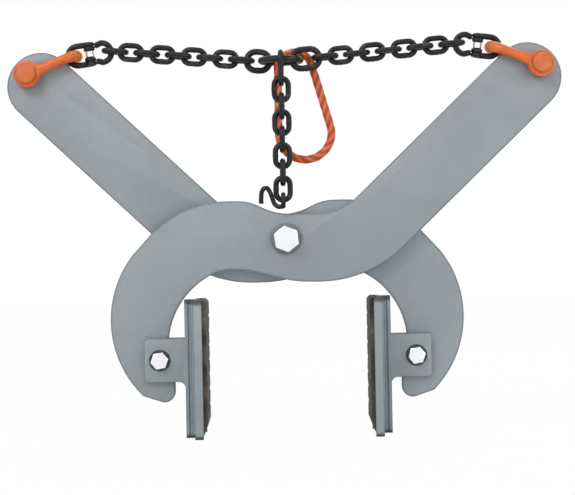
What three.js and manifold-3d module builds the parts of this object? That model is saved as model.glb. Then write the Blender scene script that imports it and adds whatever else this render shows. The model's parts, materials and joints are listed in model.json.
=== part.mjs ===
// Kerb lifting clamp: two crossed steel arms on one pivot bolt, swivelling jaws with rubber faces, and a two-leg
// chain with a pear-shaped lifting link. Millimetres, +Z up. The clamp stands on its jaws at Z = 0, the arms lie in
// planes square to Y, and the front of the clamp faces -Y.
import * as THREE from 'three';
import { mergeVertices } from 'three/addons/utils/BufferGeometryUtils.js';
import Module from 'manifold-3d';

const wasm = await Module();
wasm.setup();

// Clearances and rounding
const SEAT_GAP = 0.3;
const BORE_CLEARANCE = 0.4;
const CUT_OVERRUN = 1;
const ROUND_SIDES = 28;
const WIRE_SIDES = 8;
const LINK_SIDES = 6;
const LINK_END_STEPS = 6;
const ARC_STEPS = 10;

// Arms: plates of one outline, the rear one turned half round the Z axis
const ARM_THICKNESS = 16;
const ARM_SPACING = 3;
const ARM_WIDTH = 98;
const ARM_END_X = 349;
const ARM_END_Z = 226;
const BEND_X = 47.5;
const BEND_Z = 113;
const BEND_INNER_RADIUS = 77;
const SHOULDER_X = -86;
const SHOULDER_Z = -95;
const SHOULDER_RADIUS = 150.5;
const SHOULDER_END_ANGLE = 138;
const HOOK_X = -101.5;
const HOOK_Z = -113.5;
const HOOK_RADIUS = 152;
const HOOK_START_ANGLE = 142;
const HOOK_END_ANGLE = 225;
const TIP_X = -178;
const TIP_Z = -215.5;
const TIP_RADIUS = 15;
const TIP_START_ANGLE = 250;
const THROAT_X = -58.5;
const THROAT_Z = -151.5;
const THROAT_RADIUS = 113.5;
const THROAT_START_ANGLE = 203;
const THROAT_BLEND = 8.8;
// Places of the S-shaped waist's ends and curve handles, as shares of the arm's width, left of the pivot being negative
const TOP_WAIST_SHARES = [-0.71, -0.36, -0.36, 0.1];
const LOWER_WAIST_SHARES = [-0.8, -0.31, -0.2, 0.41];
const THROAT_CORNER_SHARE = -1.02;
const SHACKLE_HOLE_INSET = 24;

// Pivot bolt and its washers
const PIVOT_BOLT_RADIUS = 12;
const PIVOT_HEAD_FLATS = 33;
const PIVOT_HEAD_HEIGHT = 15;
const PIVOT_NUT_HEIGHT = 19;
const PIVOT_BOLT_PROUD = 5;
const PIVOT_WASHER_RADIUS = 22;
const PIVOT_WASHER_THICKNESS = 4;
const SPACER_RADIUS = 34;

// Jaws
const JAW_PIN_X = 183.7;
const JAW_PIN_DROP = 170;
const JAW_HEIGHT = 197;
const JAW_ABOVE_PIN = 86;
const JAW_WIDTH = 112;
const JAW_OPENING = 231;
const RUBBER_THICKNESS = 12;
const RUBBER_CHAMFER = 22;
const RUBBER_CHAMFER_DEPTH = 8;
const RUBBER_TOP_CHAMFER = 4;
const RUBBER_GROOVES = 7;
const RUBBER_GROOVE_DEPTH = 1.5;
const RUBBER_GROOVE_WIDTH = 5;
const BACKING_THICKNESS = 6;
const FLANGE_THICKNESS = 5;
const FLANGE_REACH = 6;
const BEAM_DEPTH = 14;
const BEAM_GROOVE = 4;
const BEAM_GROOVE_DEPTH = 1.5;
const CHEEK_THICKNESS = 8;
const CHEEK_CLEARANCE = 1;
const EAR_REACH = 22;
const EAR_HALF_HEIGHT = 31;
const EAR_CORNER = 5;
const EAR_FILLET = 9;
const JAW_BOLT_RADIUS = 8;
const JAW_HEAD_FLATS = 24;
const JAW_HEAD_HEIGHT = 10;
const JAW_NUT_HEIGHT = 14;
const JAW_BOLT_PROUD = 4;

// Shackles
const SHACKLE_WIRE = 16;
const SHACKLE_GAP = 27;
const SHACKLE_INSIDE = 67;
const SHACKLE_EYE_RADIUS = 19;
const SHACKLE_RISE = 21;
const SHACKLE_PIN_RADIUS = 9.5;
const SHACKLE_HEAD_RADIUS = 14;
const SHACKLE_HEAD_HEIGHT = 8;
const SHACKLE_HEAD_CHAMFER = 1.5;
const SHACKLE_NUT_FLATS = 27;
const SHACKLE_NUT_HEIGHT = 11;
const SHACKLE_PIN_PROUD = 2;

// Coupling links between shackle and chain
const COUPLING_WIRE = 9;
const COUPLING_LENGTH = 62.8;
const COUPLING_END_RADIUS = 14;
const COUPLING_RISE = 7;
const COUPLING_LUG_RADIUS = 8;
const COUPLING_LUG_LENGTH = 6;
const COUPLING_SLEEVE_RADIUS = 6.5;
const COUPLING_PIN_RADIUS = 4.2;
const COUPLING_PIN_PROUD = 1;

// Chain of 8 mm wire
const CHAIN_WIRE = 8;
const CHAIN_PITCH = 24;
const CHAIN_INNER_WIDTH = 12;
const CHAIN_PLAY = 0.4;
const COUPLING_PLAY = 2;
const SHACKLE_PLAY = 0.6;
const CHAIN_SAG = 4.9;
const CHAIN_SPACING = 22.85;
const CHAIN_LINKS = 9;
const END_LINK_WIRE = 9;
const END_LINK_WIDTH = 18;

// Hub ring in the middle, lying level
const HUB_WIRE = 10;
const HUB_RADIUS = 28;
const HUB_STEPS = 24;
const HUB_SHIFT = 3.2;

// Pear-shaped lifting link
const PEAR_WIRE = 12;
const PEAR_NARROW_RADIUS = 25;
const PEAR_WIDE_RADIUS = 38;
const PEAR_LENGTH = 93.3;
const PEAR_TILT = 8;
const PEAR_SIDE = 12;
const PEAR_SHIFT = 5;
const PEAR_DROP = 12.2;
const PEAR_SIDES = 10;

// Drop chain and its hook
const DROP_LINKS = 7;
const DROP_FIRST_LENGTH = 38;
const HOOK_WIRE = 7;
const HOOK_EYE_RADIUS = 8.5;
const HOOK_EYE_STEPS = 14;
const HOOK_STEPS = 20;
// The hook's centre line from its eye to its point, as shares of the hook's reach, height and lean
const HOOK_REACH = 31.6;
const HOOK_HEIGHT = 27.5;
const HOOK_LEAN = 7;
const HOOK_ROUTE_SHARES = [
  [0, 0, 0], [-0.22, 0.2, -0.02], [-0.4, 0.6, 0.13], [-0.5, 0.86, 0.44], [-0.6, 0.95, 0.76], [-0.78, 1, 1],
  [-0.95, 1, 0.82], [-1, 1, 0.47], [-1, 1, 0.15],
];

const rad = THREE.MathUtils.degToRad;
const armPlane = (ARM_THICKNESS + ARM_SPACING) / 2;
const jawBelowPin = JAW_HEIGHT - JAW_ABOVE_PIN;
const pivotHeight = JAW_PIN_DROP + jawBelowPin;

function material(color, roughness, metalness) {
  return new THREE.MeshStandardMaterial({ color, roughness, metalness });
}

const paint = material(0x98a1a6, 0.5, 0.3);
const zinc = material(0xe6e8ea, 0.35, 0.7);
const orange = material(0xe3652a, 0.45, 0.1);
const ropeOrange = material(0xc4532b, 0.5, 0.1);
const black = material(0x2b2b2e, 0.45, 0.6);
const rubber = material(0x332f2b, 0.9, 0);

function solid(geometry) {
  const bare = geometry.clone();
  bare.deleteAttribute('normal');
  bare.deleteAttribute('uv');
  const merged = mergeVertices(bare, 1e-4);
  return new wasm.Manifold(new wasm.Mesh({
    numProp: 3,
    vertProperties: new Float32Array(merged.attributes.position.array),
    triVerts: new Uint32Array(merged.index.array),
  }));
}

function geometryOf(body) {
  const mesh = body.getMesh();
  const geometry = new THREE.BufferGeometry();
  geometry.setAttribute('position', new THREE.BufferAttribute(mesh.vertProperties, 3));
  geometry.setIndex(new THREE.BufferAttribute(mesh.triVerts, 1));
  geometry.computeVertexNormals();
  return geometry;
}

function cut(body, ...tools) {
  return tools.reduce((left, tool) => left.subtract(tool), body);
}

function join(body, ...others) {
  return others.reduce((sum, other) => sum.add(other), body);
}

function piece(name, geometry, look, parent) {
  const mesh = new THREE.Mesh(geometry.isBufferGeometry ? geometry : geometryOf(geometry), look);
  mesh.name = name;
  parent.add(mesh);
  return mesh;
}

// A round or six-sided rod along Y, from y = from to y = to
function rod(radius, from, to, x = 0, z = 0, sides = ROUND_SIDES) {
  return solid(new THREE.CylinderGeometry(radius, radius, to - from, sides).translate(x, (from + to) / 2, z));
}

function hexRod(flats, from, to) {
  return rod(flats / 2 / Math.cos(Math.PI / 6), from, to, 0, 0, 6);
}

function block(x0, x1, y0, y1, z0, z1) {
  return solid(new THREE.BoxGeometry(x1 - x0, y1 - y0, z1 - z0)
    .translate((x0 + x1) / 2, (y0 + y1) / 2, (z0 + z1) / 2));
}

// A plate in the XZ plane, its thickness centred on y = 0
function plate(shape, thickness) {
  return new THREE.ExtrudeGeometry(shape, { depth: thickness, bevelEnabled: false, curveSegments: ARC_STEPS })
    .rotateX(Math.PI / 2).translate(0, thickness / 2, 0);
}

// A wire of round section along points in the XZ plane, closed into a loop or with flat ends
function wire(points, diameter, closed, sides = WIRE_SIDES) {
  const across = new THREE.Vector3(0, 1, 0);
  const count = points.length;
  const corners = [];
  points.forEach((point, i) => {
    const before = points[closed ? (i + count - 1) % count : Math.max(i - 1, 0)];
    const after = points[closed ? (i + 1) % count : Math.min(i + 1, count - 1)];
    const into = point.clone().sub(before).normalize();
    const out = after.clone().sub(point).normalize();
    const along = into.clone().add(out).normalize();
    const mitre = 1 / Math.max(along.dot(out), along.dot(into));
    const outward = across.clone().cross(along);
    for (let k = 0; k < sides; k += 1) {
      const angle = (k + 0.5) / sides * 2 * Math.PI;
      const corner = point.clone()
        .addScaledVector(outward, Math.cos(angle) * diameter / 2 * mitre)
        .addScaledVector(across, Math.sin(angle) * diameter / 2);
      corners.push(corner.x, corner.y, corner.z);
    }
  });
  const faces = [];
  for (let i = 0; i < (closed ? count : count - 1); i += 1) {
    for (let k = 0; k < sides; k += 1) {
      const next = (k + 1) % sides;
      const here = i * sides;
      const there = (i + 1) % count * sides;
      faces.push(here + k, here + next, there + k, here + next, there + next, there + k);
    }
  }
  if (!closed) {
    const last = (count - 1) * sides;
    for (let k = 1; k < sides - 1; k += 1) {
      faces.push(0, k + 1, k, last, last + k, last + k + 1);
    }
  }
  const geometry = new THREE.BufferGeometry();
  geometry.setAttribute('position', new THREE.Float32BufferAttribute(corners, 3));
  geometry.setIndex(faces);
  geometry.computeVertexNormals();
  return geometry;
}

// Points along an arc in the XZ plane, angles in degrees from +X towards +Z
function arcPoints(x, z, radius, from, to, steps) {
  return Array.from({ length: steps + 1 }, (_, i) => {
    const angle = rad(from + (to - from) * i / steps);
    return new THREE.Vector3(x + radius * Math.cos(angle), 0, z + radius * Math.sin(angle));
  });
}

// The centre line of an oval link along X
function ovalPoints(innerLength, innerWidth, diameter, steps) {
  const radius = (innerWidth + diameter) / 2;
  const centre = (innerLength + diameter) / 2 - radius;
  return [
    ...arcPoints(centre, 0, radius, -90, 90, steps),
    ...arcPoints(-centre, 0, radius, 90, 270, steps),
  ];
}

// Arms. The straight part is tangent to the bend and to the round end, so its slope follows from their places.
const bendMiddle = BEND_INNER_RADIUS + ARM_WIDTH / 2;
const endFromBend = new THREE.Vector2(ARM_END_X - BEND_X, ARM_END_Z - BEND_Z);
const armSlope = endFromBend.angle() + Math.asin(bendMiddle / endFromBend.length());
const armDirection = new THREE.Vector2(Math.cos(armSlope), Math.sin(armSlope));
const armSide = armSlope - Math.PI / 2;
const shackleHoleOut = ARM_WIDTH / 2 - SHACKLE_HOLE_INSET;
const shacklePinX = ARM_END_X + shackleHoleOut * armDirection.x;
const shacklePinZ = ARM_END_Z + shackleHoleOut * armDirection.y;

// The throat's arc ends a blend's height below the arm's lower edge, and a short curve joins the two.
function armShape() {
  const shape = new THREE.Shape();
  const shoulderTop = SHOULDER_Z + SHOULDER_RADIUS;
  const waistTop = BEND_Z - BEND_INNER_RADIUS;
  const lowerLeft = shoulderTop - ARM_WIDTH;
  const lowerRight = waistTop - ARM_WIDTH;
  const throatEnd = Math.PI - Math.asin((lowerLeft - THROAT_BLEND - THROAT_Z) / THROAT_RADIUS);
  const [topA, topB, topC, topD] = TOP_WAIST_SHARES.map((share) => share * ARM_WIDTH);
  const [lowA, lowB, lowC, lowD] = LOWER_WAIST_SHARES.map((share) => share * ARM_WIDTH);
  shape.absarc(ARM_END_X, ARM_END_Z, ARM_WIDTH / 2, armSide, armSide + Math.PI, false);
  shape.absarc(BEND_X, BEND_Z, BEND_INNER_RADIUS, armSide, -Math.PI / 2, true);
  shape.lineTo(topD, waistTop);
  shape.bezierCurveTo(topC, waistTop, topB, shoulderTop, topA, shoulderTop);
  shape.absarc(SHOULDER_X, SHOULDER_Z, SHOULDER_RADIUS, Math.PI / 2, rad(SHOULDER_END_ANGLE), false);
  shape.absarc(HOOK_X, HOOK_Z, HOOK_RADIUS, rad(HOOK_START_ANGLE), rad(HOOK_END_ANGLE), false);
  shape.absarc(TIP_X, TIP_Z, TIP_RADIUS, rad(TIP_START_ANGLE), 2 * Math.PI, false);
  shape.absarc(THROAT_X, THROAT_Z, THROAT_RADIUS, rad(THROAT_START_ANGLE), throatEnd, true);
  shape.quadraticCurveTo(THROAT_CORNER_SHARE * ARM_WIDTH, lowerLeft, lowA, lowerLeft);
  shape.bezierCurveTo(lowB, lowerLeft, lowC, lowerRight, lowD, lowerRight);
  shape.absarc(BEND_X, BEND_Z, BEND_INNER_RADIUS + ARM_WIDTH, -Math.PI / 2, armSide, false);
  return shape;
}

function armSolid() {
  const reach = ARM_THICKNESS / 2 + CUT_OVERRUN;
  return cut(
    solid(plate(armShape(), ARM_THICKNESS)),
    rod(PIVOT_BOLT_RADIUS + BORE_CLEARANCE, -reach, reach),
    rod(JAW_BOLT_RADIUS + BORE_CLEARANCE, -reach, reach, -JAW_PIN_X, -JAW_PIN_DROP),
    rod(SHACKLE_PIN_RADIUS + BORE_CLEARANCE, -reach, reach, shacklePinX, shacklePinZ),
  );
}

const clamp = new THREE.Group();
const pivot = new THREE.Group();
pivot.position.z = pivotHeight;
clamp.add(pivot);

const armGeometry = geometryOf(armSolid());
piece('arm_front', armGeometry, paint, pivot).position.y = -armPlane;
const rearArm = piece('arm_rear', armGeometry, paint, pivot);
rearArm.position.y = armPlane;
rearArm.rotation.z = Math.PI;

// A bolt along Y with its head towards -Y. grip is the distance from the head's seat to the nut's seat.
function bolt(radius, flats, headHeight, grip, nutHeight, proud) {
  return join(
    hexRod(flats, -headHeight, 0),
    rod(radius, -headHeight / 2, grip + nutHeight + proud),
  );
}

function nut(radius, flats, height) {
  return cut(hexRod(flats, 0, height), rod(radius + BORE_CLEARANCE, -CUT_OVERRUN, height + CUT_OVERRUN));
}

function washer(outer, bolt, thickness) {
  return cut(rod(outer, 0, thickness), rod(bolt + BORE_CLEARANCE, -CUT_OVERRUN, thickness + CUT_OVERRUN));
}

// Pivot: front washer, bolt, spacer between the arms, rear washer and nut
const armsFace = armPlane + ARM_THICKNESS / 2;
const pivotSeat = armsFace + 2 * SEAT_GAP + PIVOT_WASHER_THICKNESS;
const pivotWasher = geometryOf(washer(PIVOT_WASHER_RADIUS, PIVOT_BOLT_RADIUS, PIVOT_WASHER_THICKNESS));
piece('pivot_bolt', bolt(PIVOT_BOLT_RADIUS, PIVOT_HEAD_FLATS, PIVOT_HEAD_HEIGHT, 2 * pivotSeat,
  PIVOT_NUT_HEIGHT, PIVOT_BOLT_PROUD), zinc, pivot).position.y = -pivotSeat;
piece('pivot_washer_front', pivotWasher, zinc, pivot).position.y = -pivotSeat + SEAT_GAP;
piece('pivot_washer_rear', pivotWasher, zinc, pivot).position.y = armsFace + SEAT_GAP;
piece('pivot_spacer', washer(SPACER_RADIUS, PIVOT_BOLT_RADIUS, ARM_SPACING - 2 * SEAT_GAP), zinc, pivot)
  .position.y = SEAT_GAP - ARM_SPACING / 2;
piece('pivot_nut', nut(PIVOT_BOLT_RADIUS, PIVOT_HEAD_FLATS, PIVOT_NUT_HEIGHT), zinc, pivot)
  .position.y = pivotSeat;

// Jaw: everything is measured from the jaw bolt's axis, the rubber face towards +X
const rubberFace = JAW_PIN_X - JAW_OPENING / 2;
const backingFace = rubberFace - RUBBER_THICKNESS;
const beamFace = backingFace - BACKING_THICKNESS;
const beamBack = beamFace - BEAM_DEPTH;
const flangeFace = backingFace + FLANGE_REACH;
const jawBottom = -jawBelowPin;
const jawTop = JAW_ABOVE_PIN;
const cheekInner = ARM_THICKNESS / 2 + CHEEK_CLEARANCE;
const cheekOuter = cheekInner + CHEEK_THICKNESS;

function earShape() {
  const shape = new THREE.Shape();
  shape.moveTo(beamFace, jawBottom);
  shape.lineTo(beamFace, jawTop);
  shape.lineTo(beamBack, jawTop);
  shape.lineTo(beamBack, EAR_HALF_HEIGHT);
  shape.absarc(EAR_CORNER - EAR_REACH, EAR_HALF_HEIGHT - EAR_CORNER, EAR_CORNER, Math.PI / 2, Math.PI, false);
  shape.absarc(EAR_CORNER - EAR_REACH, EAR_CORNER - EAR_HALF_HEIGHT, EAR_CORNER, Math.PI, 3 * Math.PI / 2, false);
  shape.absarc(beamBack - EAR_FILLET, -EAR_HALF_HEIGHT - EAR_FILLET, EAR_FILLET, Math.PI / 2, 0, true);
  shape.lineTo(beamBack, jawBottom);
  return shape;
}

// A welded shoe: two cheeks, the beam between them and a channel that holds the rubber between its two flanges. jawSide
// is the distance from the arm's middle plane to the jaw's middle, along Y.
function jawShoe(jawSide) {
  const cheek = plate(earShape(), CHEEK_THICKNESS);
  const offset = (cheekInner + cheekOuter) / 2;
  const groove = (sign) => block(
    (beamFace + beamBack - BEAM_GROOVE) / 2, (beamFace + beamBack + BEAM_GROOVE) / 2,
    sign * cheekOuter - BEAM_GROOVE_DEPTH, sign * cheekOuter + BEAM_GROOVE_DEPTH,
    jawBottom - CUT_OVERRUN, jawTop + CUT_OVERRUN,
  );
  const flange = (sign) => {
    const edge = jawSide + sign * JAW_WIDTH / 2;
    const inner = edge - sign * FLANGE_THICKNESS;
    return block(beamFace, flangeFace, Math.min(edge, inner), Math.max(edge, inner), jawBottom, jawTop);
  };
  const reach = cheekOuter + CUT_OVERRUN;
  return cut(
    join(
      flange(-1),
      flange(1),
      solid(cheek.clone().translate(0, -offset, 0)),
      solid(cheek.clone().translate(0, offset, 0)),
      block(beamBack, beamFace, -cheekOuter, cheekOuter, jawBottom, jawTop),
      block(beamFace, backingFace, jawSide - JAW_WIDTH / 2, jawSide + JAW_WIDTH / 2, jawBottom, jawTop),
    ),
    rod(JAW_BOLT_RADIUS + BORE_CLEARANCE, -reach, reach),
    groove(-1),
    groove(1),
  );
}

function rubberPad(jawSide) {
  const shape = new THREE.Shape();
  const back = backingFace + SEAT_GAP;
  const pitch = (JAW_HEIGHT - RUBBER_CHAMFER - RUBBER_TOP_CHAMFER) / (RUBBER_GROOVES + 1);
  shape.moveTo(back, jawBottom);
  shape.lineTo(rubberFace - RUBBER_CHAMFER_DEPTH, jawBottom);
  shape.lineTo(rubberFace, jawBottom + RUBBER_CHAMFER);
  for (let i = 1; i <= RUBBER_GROOVES; i += 1) {
    const z = jawBottom + RUBBER_CHAMFER + i * pitch;
    shape.lineTo(rubberFace, z - RUBBER_GROOVE_WIDTH / 2);
    shape.lineTo(rubberFace - RUBBER_GROOVE_DEPTH, z);
    shape.lineTo(rubberFace, z + RUBBER_GROOVE_WIDTH / 2);
  }
  shape.lineTo(rubberFace, jawTop - RUBBER_TOP_CHAMFER);
  shape.lineTo(rubberFace - RUBBER_TOP_CHAMFER, jawTop);
  shape.lineTo(back, jawTop);
  return plate(shape, JAW_WIDTH - 2 * (FLANGE_THICKNESS + SEAT_GAP)).translate(0, jawSide, 0);
}

// Chain geometry shared by the side runs and the drop chain
const chainHalf = (CHAIN_PITCH + CHAIN_WIRE) / 2;

function linkGeometry(innerLength, innerWidth, diameter) {
  return wire(ovalPoints(innerLength, innerWidth, diameter, LINK_END_STEPS), diameter, true, LINK_SIDES);
}

const commonLink = linkGeometry(CHAIN_PITCH, CHAIN_INNER_WIDTH, CHAIN_WIRE);

function addLinks(prefix, run, first, spacing, count, turned) {
  for (let i = 0; i < count; i += 1) {
    const link = piece(`${prefix}_${String(i + 1).padStart(2, '0')}`, commonLink, black, run);
    link.position.x = first + i * spacing;
    link.rotation.x = (i + turned) % 2 * Math.PI / 2;
  }
}

// Shackle: its pin lies along Y at the origin and its bow reaches along +X
const shackleLeg = (SHACKLE_GAP + SHACKLE_WIRE) / 2;
const shackleStraight = SHACKLE_INSIDE - SHACKLE_GAP / 2;
const shackleSide = SHACKLE_GAP / 2 + SHACKLE_WIRE;

function shackleBow() {
  const line = [
    new THREE.Vector3(0, 0, -shackleLeg),
    ...arcPoints(shackleStraight, 0, shackleLeg, -90, 90, ARC_STEPS),
    new THREE.Vector3(0, 0, shackleLeg),
  ];
  const bow = solid(wire(line, SHACKLE_WIRE, false, PEAR_SIDES).rotateX(Math.PI / 2));
  const inner = SHACKLE_GAP / 2;
  return cut(
    join(bow, rod(SHACKLE_EYE_RADIUS, -shackleSide, -inner), rod(SHACKLE_EYE_RADIUS, inner, shackleSide)),
    rod(SHACKLE_PIN_RADIUS + BORE_CLEARANCE, -shackleSide - CUT_OVERRUN, shackleSide + CUT_OVERRUN),
  );
}

function shacklePin() {
  const head = new THREE.CylinderGeometry(
    SHACKLE_HEAD_RADIUS, SHACKLE_HEAD_RADIUS - SHACKLE_HEAD_CHAMFER, SHACKLE_HEAD_CHAMFER, ROUND_SIDES,
  ).translate(0, SHACKLE_HEAD_CHAMFER / 2 - SHACKLE_HEAD_HEIGHT, 0);
  return join(
    solid(head),
    rod(SHACKLE_HEAD_RADIUS, SHACKLE_HEAD_CHAMFER - SHACKLE_HEAD_HEIGHT, 0),
    rod(SHACKLE_PIN_RADIUS, -SHACKLE_HEAD_HEIGHT / 2,
      2 * (shackleSide + SEAT_GAP) + SHACKLE_NUT_HEIGHT + SHACKLE_PIN_PROUD),
  );
}

// Coupling link along X, centred on its load pin, which stands along Z. lugAt is where a half's lugs sit on the pin.
const couplingEnd = COUPLING_LENGTH / 2 - COUPLING_END_RADIUS;
const lugOuter = COUPLING_END_RADIUS + COUPLING_LUG_LENGTH / 2;
const lugInner = lugOuter - COUPLING_LUG_LENGTH - SEAT_GAP;

function upright(radius, from, to) {
  return solid(new THREE.CylinderGeometry(radius, radius, to - from, ROUND_SIDES / 2)
    .rotateX(Math.PI / 2).translate(0, 0, (from + to) / 2));
}

function couplingHalf(lugAt, ...clear) {
  const middle = lugAt - COUPLING_LUG_LENGTH / 2;
  const clearances = clear.map(([from, to]) => upright(COUPLING_LUG_RADIUS + SEAT_GAP, from, to));
  const line = [
    new THREE.Vector3(0, 0, -middle),
    ...arcPoints(couplingEnd, 0, COUPLING_END_RADIUS, -90, 90, LINK_END_STEPS),
    new THREE.Vector3(0, 0, middle),
  ];
  return cut(
    join(
      cut(solid(wire(line, COUPLING_WIRE, false)), ...clearances),
      upright(COUPLING_LUG_RADIUS, lugAt - COUPLING_LUG_LENGTH, lugAt),
      upright(COUPLING_LUG_RADIUS, -lugAt, COUPLING_LUG_LENGTH - lugAt),
    ),
    upright(COUPLING_PIN_RADIUS + BORE_CLEARANCE, -lugOuter - CUT_OVERRUN, lugOuter + CUT_OVERRUN),
  );
}

function outerHalf() {
  const clear = lugInner + SEAT_GAP;
  return couplingHalf(lugOuter, [-clear, clear]);
}

function innerHalf() {
  const middle = lugInner - COUPLING_LUG_LENGTH;
  const end = lugOuter + COUPLING_WIRE;
  return couplingHalf(lugInner, [-end, -lugInner], [-middle, middle], [lugInner, end]);
}

function couplingSleeve() {
  const end = lugInner - COUPLING_LUG_LENGTH - SEAT_GAP;
  return cut(
    upright(COUPLING_SLEEVE_RADIUS, -end, end),
    upright(COUPLING_PIN_RADIUS + BORE_CLEARANCE, -end - CUT_OVERRUN, end + CUT_OVERRUN),
  );
}

// The chain run: from the coupling's inner end to the hub ring, in the left side's frame
const shackleAngle = rad(SHACKLE_RISE);
const couplingAngle = rad(COUPLING_RISE);
const bowMiddle = SHACKLE_INSIDE + SHACKLE_WIRE / 2;
const couplingSeat = (SHACKLE_WIRE + COUPLING_WIRE) / 2 + SHACKLE_PLAY;
const bowPoint = new THREE.Vector3(
  -shacklePinX + bowMiddle * Math.cos(shackleAngle), armPlane, shacklePinZ + bowMiddle * Math.sin(shackleAngle),
);
const couplingReach = COUPLING_LENGTH - couplingSeat;
const chainStart = new THREE.Vector3(
  bowPoint.x + couplingReach * Math.cos(couplingAngle), armPlane,
  bowPoint.z + couplingReach * Math.sin(couplingAngle),
);
const hubEndX = Math.sqrt(HUB_RADIUS ** 2 - armPlane ** 2);
const hubZ = chainStart.z + (hubEndX + chainStart.x) * Math.tan(rad(CHAIN_SAG));
const hubSeat = hubEndX
  - Math.sqrt((HUB_RADIUS - (HUB_WIRE + END_LINK_WIRE) / 2 - CHAIN_PLAY) ** 2 - armPlane ** 2);
const firstLink = chainHalf - (COUPLING_WIRE + CHAIN_WIRE) / 2 - COUPLING_PLAY;

// shift is how far the hub ring's middle stands to the right of this side's frame. The wider end link takes up what
// the common links leave.
function addRun(name, side, shift) {
  const chainEnd = new THREE.Vector3(shift - hubEndX, armPlane, hubZ);
  const endOuter = chainEnd.distanceTo(chainStart) + hubSeat;
  const endInner = firstLink + (CHAIN_LINKS - 1) * CHAIN_SPACING + chainHalf
    - (CHAIN_WIRE + END_LINK_WIRE) / 2 - CHAIN_PLAY;
  const run = new THREE.Group();
  run.position.copy(chainStart);
  run.quaternion.setFromUnitVectors(new THREE.Vector3(1, 0, 0), chainEnd.sub(chainStart).normalize());
  side.add(run);
  addLinks(`chain_${name}`, run, firstLink, CHAIN_SPACING, CHAIN_LINKS, 1);
  piece(`chain_${name}_end`, linkGeometry(endOuter - endInner - END_LINK_WIRE, END_LINK_WIDTH, END_LINK_WIRE),
    black, run).position.x = (endInner + endOuter) / 2;
}

// Both sides are alike but for the bolts and pins, whose heads all face -Y. turn is half a turn on the right side.
function addSide(name, turn) {
  const side = new THREE.Group();
  side.rotation.z = turn;
  pivot.add(side);
  const front = turn ? Math.PI : 0;

  const jaw = new THREE.Group();
  jaw.position.set(-JAW_PIN_X, -armPlane, -JAW_PIN_DROP);
  side.add(jaw);
  piece(`jaw_shoe_${name}`, jawShoe(armPlane), paint, jaw);
  piece(`jaw_rubber_${name}`, rubberPad(armPlane), rubber, jaw);
  const jawFixings = new THREE.Group();
  jawFixings.rotation.z = front;
  jaw.add(jawFixings);
  const jawSeat = cheekOuter + SEAT_GAP;
  piece(`jaw_bolt_${name}`, bolt(JAW_BOLT_RADIUS, JAW_HEAD_FLATS, JAW_HEAD_HEIGHT, 2 * jawSeat, JAW_NUT_HEIGHT,
    JAW_BOLT_PROUD), zinc, jawFixings).position.y = -jawSeat;
  piece(`jaw_nut_${name}`, nut(JAW_BOLT_RADIUS, JAW_HEAD_FLATS, JAW_NUT_HEIGHT), zinc, jawFixings)
    .position.y = jawSeat;

  const shackle = new THREE.Group();
  shackle.position.set(-shacklePinX, armPlane, shacklePinZ);
  shackle.rotation.y = -shackleAngle;
  side.add(shackle);
  piece(`shackle_bow_${name}`, shackleBow(), orange, shackle);
  const pinSeat = shackleSide + SEAT_GAP;
  const shackleFixings = new THREE.Group();
  shackleFixings.rotation.z = front;
  shackle.add(shackleFixings);
  piece(`shackle_pin_${name}`, shacklePin(), orange, shackleFixings).position.y = -pinSeat;
  piece(`shackle_nut_${name}`, nut(SHACKLE_PIN_RADIUS, SHACKLE_NUT_FLATS, SHACKLE_NUT_HEIGHT), orange,
    shackleFixings).position.y = pinSeat;

  const coupling = new THREE.Group();
  coupling.position.copy(bowPoint);
  coupling.rotation.y = -couplingAngle;
  side.add(coupling);
  const couplingMiddle = COUPLING_LENGTH / 2 - couplingSeat;
  const link = new THREE.Group();
  link.position.x = couplingMiddle;
  coupling.add(link);
  piece(`coupling_outer_${name}`, outerHalf(), black, link).rotation.z = Math.PI;
  piece(`coupling_inner_${name}`, innerHalf(), black, link);
  piece(`coupling_sleeve_${name}`, couplingSleeve(), zinc, link);
  piece(`coupling_pin_${name}`, upright(COUPLING_PIN_RADIUS, -lugOuter - COUPLING_PIN_PROUD,
    lugOuter + COUPLING_PIN_PROUD), black, link);

  addRun(name, side, turn ? HUB_SHIFT : -HUB_SHIFT);
}

addSide('left', 0);
addSide('right', Math.PI);

// Hub ring, level in the middle of the chain
const hub = new THREE.Group();
hub.position.set(-HUB_SHIFT, 0, hubZ);
pivot.add(hub);
piece('hub_ring', wire(arcPoints(0, 0, HUB_RADIUS, 0, 360 - 360 / HUB_STEPS, HUB_STEPS - 1), HUB_WIRE, true)
  .rotateX(Math.PI / 2), black, hub);

// Pear link: its narrow end hangs over the ring's right side behind the right chain's last link. The middle of that
// end stands a little to the left of the ring's wire and below it.
const pear = new THREE.Group();
pear.position.set(Math.sqrt(HUB_RADIUS ** 2 - PEAR_SIDE ** 2) - PEAR_SHIFT, PEAR_SIDE, -PEAR_DROP);
pear.rotation.y = -rad(PEAR_TILT);
hub.add(pear);
const flare = THREE.MathUtils.radToDeg(Math.asin((PEAR_WIDE_RADIUS - PEAR_NARROW_RADIUS) / PEAR_LENGTH));
piece('pear_link', wire([
  ...arcPoints(0, 0, PEAR_NARROW_RADIUS, flare, 180 - flare, ARC_STEPS),
  ...arcPoints(0, -PEAR_LENGTH, PEAR_WIDE_RADIUS, 180 - flare, 360 + flare, 2 * ARC_STEPS),
], PEAR_WIRE, true, PEAR_SIDES), ropeOrange, pear);

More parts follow.
